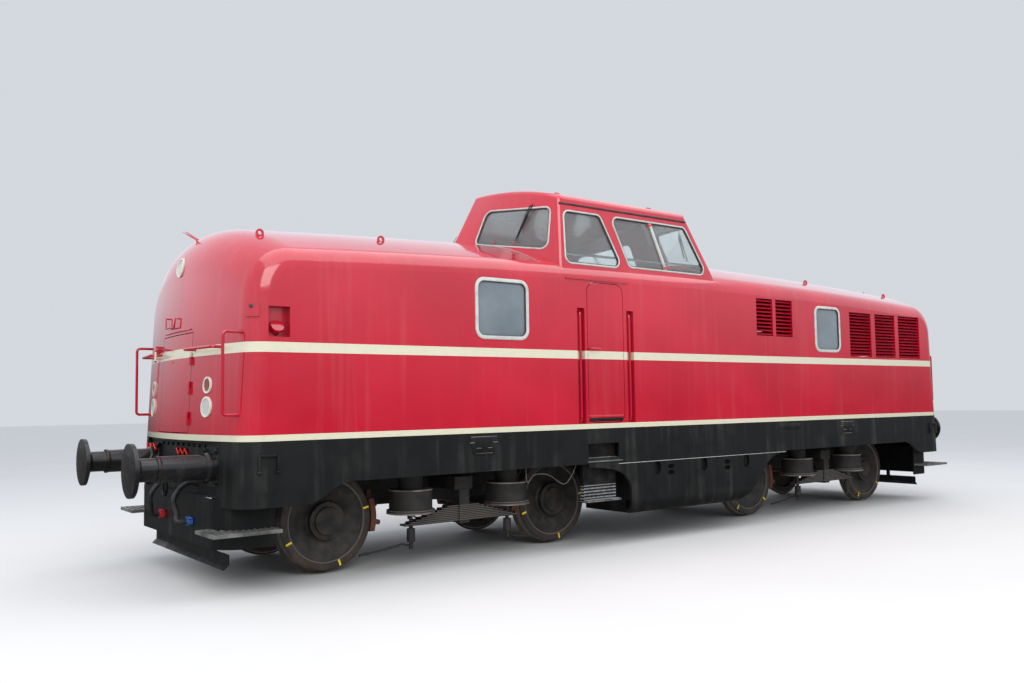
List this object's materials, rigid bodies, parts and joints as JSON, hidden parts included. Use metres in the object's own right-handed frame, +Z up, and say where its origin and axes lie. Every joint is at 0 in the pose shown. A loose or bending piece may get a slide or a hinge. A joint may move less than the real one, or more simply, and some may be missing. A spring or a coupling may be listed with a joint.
{
  "type": "diesel locomotive",
  "caption": "Four-axle centre-cab diesel locomotive with rounded hoods, two swivelling bogies, opening cab and end doors, buffers and screw coupling hooks.",
  "frame": {"origin": "middle of the bounding box's base, at the level of the wheel flanges' tips, 28 mm below the rail head", "axes": "X along the locomotive with the short hood towards -X, Y across it, Z up"},
  "size_m": [12.8, 3.09, 4.1078],
  "materials": {
    "body_red": "gloss",
    "frame_black": "satin",
    "running_gear": "matte",
    "wheel_steel": "matte",
    "galvanised": "satin",
    "glazing": "gloss",
    "lamp_rim": "satin",
    "tail_lens": "gloss",
    "head_lens": "gloss",
    "rubber_black": "matte",
    "rail_paint": "gloss",
    "brake_iron": "matte",
    "inside_grey": "satin",
    "seat_cloth": "matte",
    "engine_paint": "satin",
    "cock_paint": "gloss"
  },
  "bodies": {
    "locomotive": {"cab_walls": "body_red", "cab_roof": "body_red", "cab_glass": "glazing", "hood_glass": "glazing", "near_hood": "body_red", "filler_caps": "cock_paint", "far_hood": "body_red", "louvres": "body_red", "cab_body": "body_red", "lamp_rims": "lamp_rim", "tail_lenses": "tail_lens", "head_lenses": "head_lens", "nose_rails": "rail_paint", "door_rails": "rail_paint", "drip_mouldings": "body_red", "wipers": "rubber_black", "lifting_eyes": "body_red", "main_frame": "frame_black", "side_valances": "frame_black", "end_skirt_near": "frame_black", "end_skirt_far": "frame_black", "guard_boards": "frame_black", "end_steps": "galvanised", "cab_steps": "galvanised", "fuel_tanks": "frame_black", "buffers": "frame_black", "draw_gear": "frame_black", "hose_cocks": "cock_paint", "brake_hoses": "rubber_black", "cab_floor": "inside_grey", "control_desks": "inside_grey", "seat_posts": "inside_grey", "seat_cushions": "seat_cloth", "engine_block": "engine_paint", "transmission": "running_gear"},
    "bogie_near": {"bogie_frame_near": "running_gear", "springs_near": "running_gear", "brake_gear_near": "brake_iron"},
    "bogie_far": {"bogie_frame_far": "running_gear", "springs_far": "running_gear", "brake_gear_far": "brake_iron"},
    "wheelset_1": {"wheelset_1": "wheel_steel"},
    "wheelset_2": {"wheelset_2": "wheel_steel"},
    "wheelset_3": {"wheelset_3": "wheel_steel"},
    "wheelset_4": {"wheelset_4": "wheel_steel"},
    "side_door_right": {"side_door_right": "body_red"},
    "side_door_left": {"side_door_left": "body_red"},
    "end_door_near": {"end_door_near": "body_red"},
    "end_door_far": {"end_door_far": "body_red"}
  },
  "joints": [
    {"name": "bogie_near_swivel", "type": "hinge", "parent": "locomotive", "child": "bogie_near", "pos_m": [-3.15, 0, 0.793], "axis": [0, 0, 1], "range_deg": [-5, 5]},
    {"name": "bogie_far_swivel", "type": "hinge", "parent": "locomotive", "child": "bogie_far", "pos_m": [3.15, 0, 0.793], "axis": [0, 0, 1], "range_deg": [-5, 5]},
    {"name": "wheelset_1_spin", "type": "hinge", "parent": "bogie_near", "child": "wheelset_1", "pos_m": [-4.55, 0, 0.503], "axis": [0, 1, 0], "continuous": true},
    {"name": "wheelset_2_spin", "type": "hinge", "parent": "bogie_near", "child": "wheelset_2", "pos_m": [-1.75, 0, 0.503], "axis": [0, 1, 0], "continuous": true},
    {"name": "wheelset_3_spin", "type": "hinge", "parent": "bogie_far", "child": "wheelset_3", "pos_m": [1.75, 0, 0.503], "axis": [0, 1, 0], "continuous": true},
    {"name": "wheelset_4_spin", "type": "hinge", "parent": "bogie_far", "child": "wheelset_4", "pos_m": [4.55, 0, 0.503], "axis": [0, 1, 0], "continuous": true},
    {"name": "side_door_right_hinge", "type": "hinge", "parent": "locomotive", "child": "side_door_right", "pos_m": [-1.212, -1.436, 2.12], "axis": [0, 0, -1], "range_deg": [0, 90]},
    {"name": "side_door_left_hinge", "type": "hinge", "parent": "locomotive", "child": "side_door_left", "pos_m": [-1.212, 1.436, 2.12], "axis": [0, 0, 1], "range_deg": [0, 90]},
    {"name": "end_door_near_hinge", "type": "hinge", "parent": "locomotive", "child": "end_door_near", "pos_m": [-5.77765, -0.45, 1.311], "axis": [0.0479, 0, 0.9988], "range_deg": [0, 90]},
    {"name": "end_door_far_hinge", "type": "hinge", "parent": "locomotive", "child": "end_door_far", "pos_m": [5.77765, 0.45, 1.311], "axis": [-0.0479, 0, 0.9988], "range_deg": [0, 90]}
  ]
}
